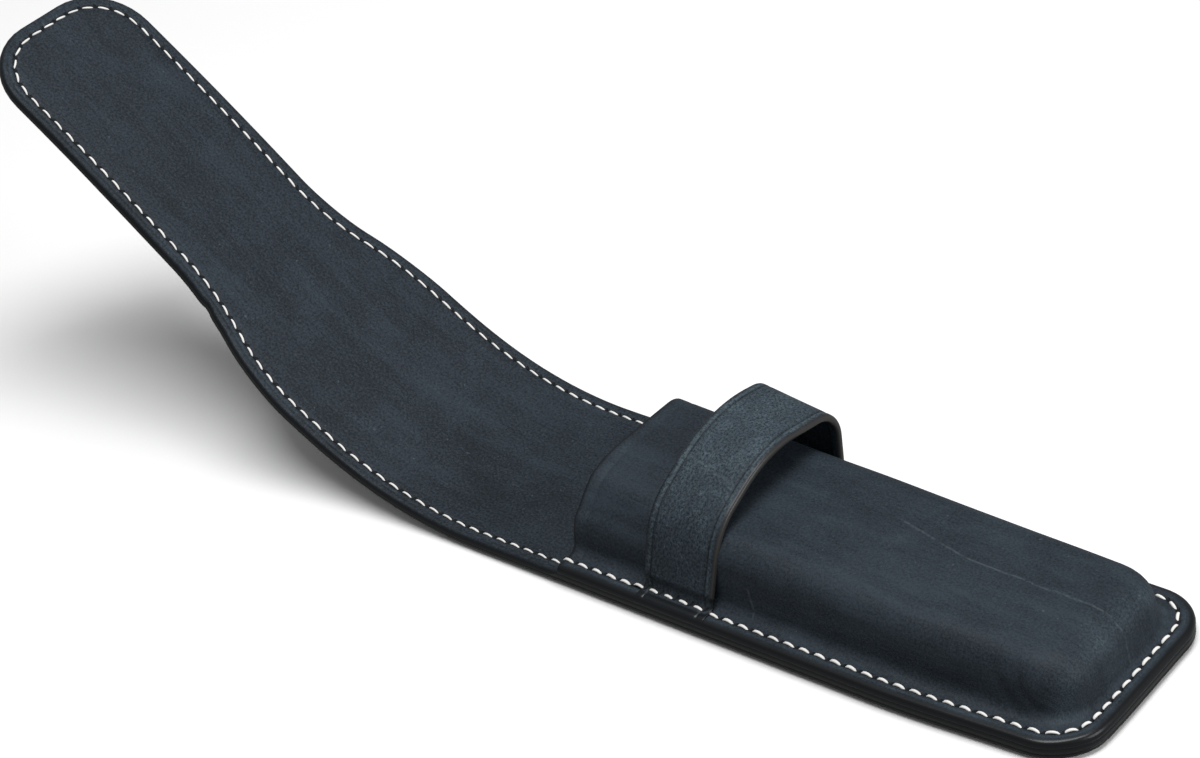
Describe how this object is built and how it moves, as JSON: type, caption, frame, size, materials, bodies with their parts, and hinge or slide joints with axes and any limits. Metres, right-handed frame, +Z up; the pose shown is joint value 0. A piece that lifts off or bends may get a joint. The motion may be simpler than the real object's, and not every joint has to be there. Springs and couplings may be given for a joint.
{
  "type": "pen case",
  "caption": "Stitched leather pen case: a wet-moulded pocket on a lined back, with a long flap whose tongue folds over the pocket to an arched keeper strap.",
  "frame": {"origin": "at the pocket's mouth, on the case's middle line, on the face that lies on the table", "axes": "+X along the case to the closed bottom of the pocket, the flap along -X, +Y across it, +Z up out of the table, from the back to the moulded front"},
  "size_m": [0.2957, 0.0566, 0.0894],
  "materials": {
    "waxed_leather": "waxed",
    "lining_leather": "waxed",
    "linen_thread": "waxed linen"
  },
  "bodies": {
    "pocket": {"outer_back": "waxed_leather", "lining_back": "lining_leather", "pocket_front": "waxed_leather", "keeper_strap": "waxed_leather", "pocket_thread": "linen_thread"},
    "flap_1": {"flap_outer_1": "waxed_leather", "flap_lining_1": "lining_leather", "flap_thread_1": "linen_thread"},
    "flap_2": {"flap_outer_2": "waxed_leather", "flap_lining_2": "lining_leather", "flap_thread_2": "linen_thread"},
    "flap_3": {"flap_outer_3": "waxed_leather", "flap_lining_3": "lining_leather", "flap_thread_3": "linen_thread"},
    "flap_4": {"flap_outer_4": "waxed_leather", "flap_lining_4": "lining_leather", "flap_thread_4": "linen_thread"},
    "flap_5": {"flap_outer_5": "waxed_leather", "flap_lining_5": "lining_leather", "flap_thread_5": "linen_thread"},
    "flap_6": {"flap_outer_6": "waxed_leather", "flap_lining_6": "lining_leather", "flap_thread_6": "linen_thread"},
    "flap_7": {"flap_outer_7": "waxed_leather", "flap_lining_7": "lining_leather", "flap_thread_7": "linen_thread"},
    "tongue": {"tongue_outer": "waxed_leather", "tongue_lining": "lining_leather", "tongue_thread": "linen_thread"}
  },
  "joints": [
    {"name": "fold_1", "type": "hinge", "parent": "pocket", "child": "flap_1", "pos_m": [-0.0273, 0, 0.0033], "axis": [0, 1, 0], "range_deg": [-5, 24]},
    {"name": "fold_2", "type": "hinge", "parent": "flap_1", "child": "flap_2", "pos_m": [-0.03507, 0, 0.00398], "axis": [0, 1, 0], "range_deg": [-5, 24]},
    {"name": "fold_3", "type": "hinge", "parent": "flap_2", "child": "flap_3", "pos_m": [-0.04275, 0, 0.00533], "axis": [0, 1, 0], "range_deg": [-5, 24]},
    {"name": "fold_4", "type": "hinge", "parent": "flap_3", "child": "flap_4", "pos_m": [-0.05029, 0, 0.00735], "axis": [0, 1, 0], "range_deg": [-5, 24]},
    {"name": "fold_5", "type": "hinge", "parent": "flap_4", "child": "flap_5", "pos_m": [-0.05762, 0, 0.01002], "axis": [0, 1, 0], "range_deg": [-5, 24]},
    {"name": "fold_6", "type": "hinge", "parent": "flap_5", "child": "flap_6", "pos_m": [-0.06468, 0, 0.01332], "axis": [0, 1, 0], "range_deg": [-5, 24]},
    {"name": "curl_1", "type": "hinge", "parent": "flap_6", "child": "flap_7", "pos_m": [-0.07482, 0, 0.01917], "axis": [0, 1, 0], "range_deg": [-4.5, 0]},
    {"name": "curl_2", "type": "hinge", "parent": "flap_7", "child": "tongue", "pos_m": [-0.0941, 0, 0.03242], "axis": [0, 1, 0], "range_deg": [-4.5, 0]}
  ],
  "couplings": [
    {"joint": "fold_2", "follows": "fold_1", "ratio": 1},
    {"joint": "fold_3", "follows": "fold_1", "ratio": 1},
    {"joint": "fold_4", "follows": "fold_1", "ratio": 1},
    {"joint": "fold_5", "follows": "fold_1", "ratio": 1},
    {"joint": "fold_6", "follows": "fold_1", "ratio": 1},
    {"joint": "curl_2", "follows": "curl_1", "ratio": 1}
  ]
}
